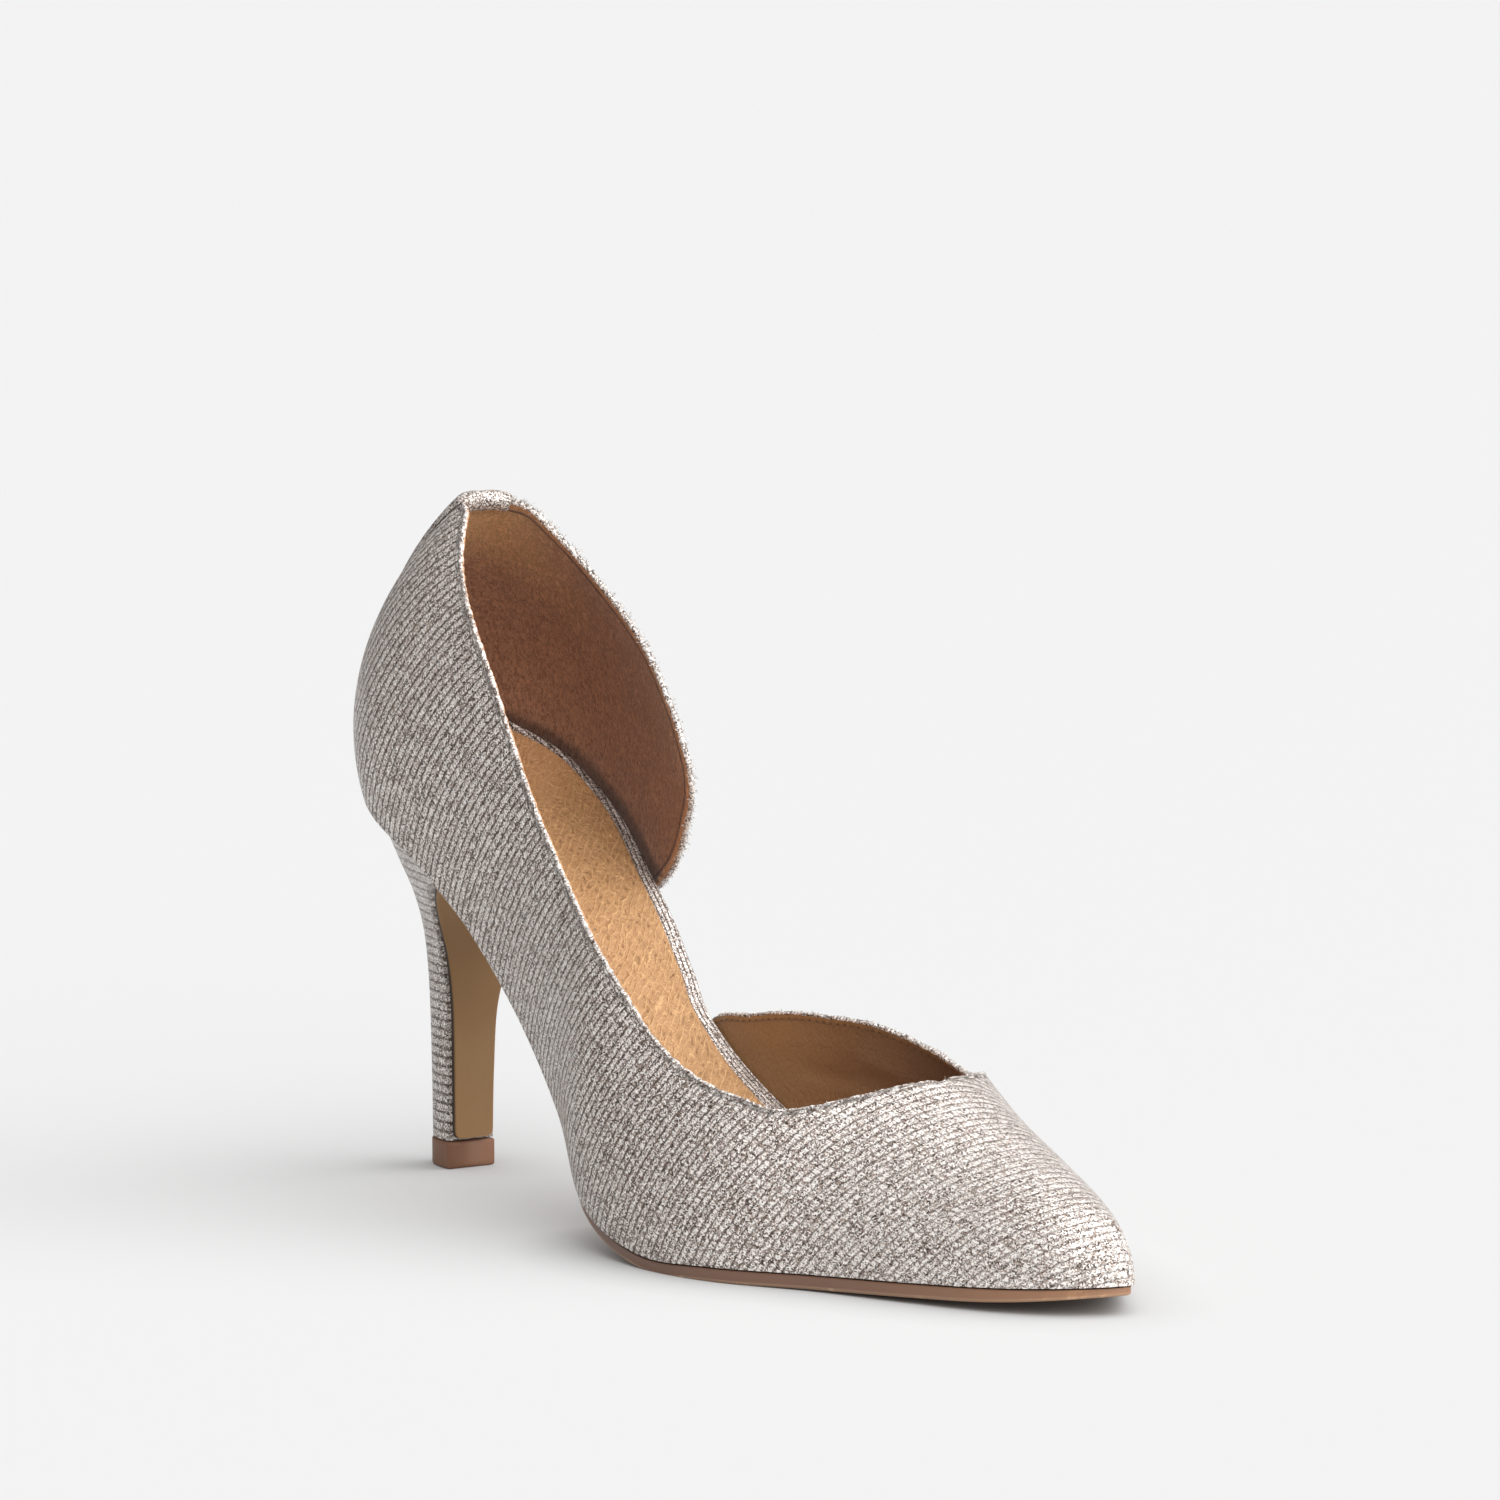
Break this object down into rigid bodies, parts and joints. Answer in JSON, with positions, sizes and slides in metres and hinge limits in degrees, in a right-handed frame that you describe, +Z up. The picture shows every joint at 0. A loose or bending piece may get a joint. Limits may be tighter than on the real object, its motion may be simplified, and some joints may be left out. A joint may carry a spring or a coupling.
{
  "type": "stiletto heel pump",
  "caption": "Pointed half d'Orsay stiletto pump in metallic rib knit: closed outer side, inner waist cut down to the insole, slim covered heel with a rubber tip.",
  "frame": {"origin": "middle of the bounding box on the floor", "axes": "+X to the toe, -Y to the outer side of the foot, +Y to the inner side, +Z up"},
  "size_m": [0.2332, 0.0784, 0.1378],
  "materials": {
    "upper_knit": "silvery champagne metallic rib knit",
    "stay_knit": "silvery champagne metallic rib knit",
    "insole_knit": "silvery champagne metallic rib knit",
    "sock_leather": "grained camel leather",
    "sole_leather": "satin painted edge",
    "heel_knit": "silvery champagne metallic rib knit",
    "cover_leather": "matte olive brown",
    "tip_rubber": "moulded red brown rubber"
  },
  "bodies": {
    "root": {"upper": "upper_knit", "back_stay": "stay_knit", "insole": "insole_knit", "sock": "sock_leather", "outsole": "sole_leather", "heel": "heel_knit", "breast_cover": "cover_leather", "top_piece": "tip_rubber"}
  },
  "joints": []
}
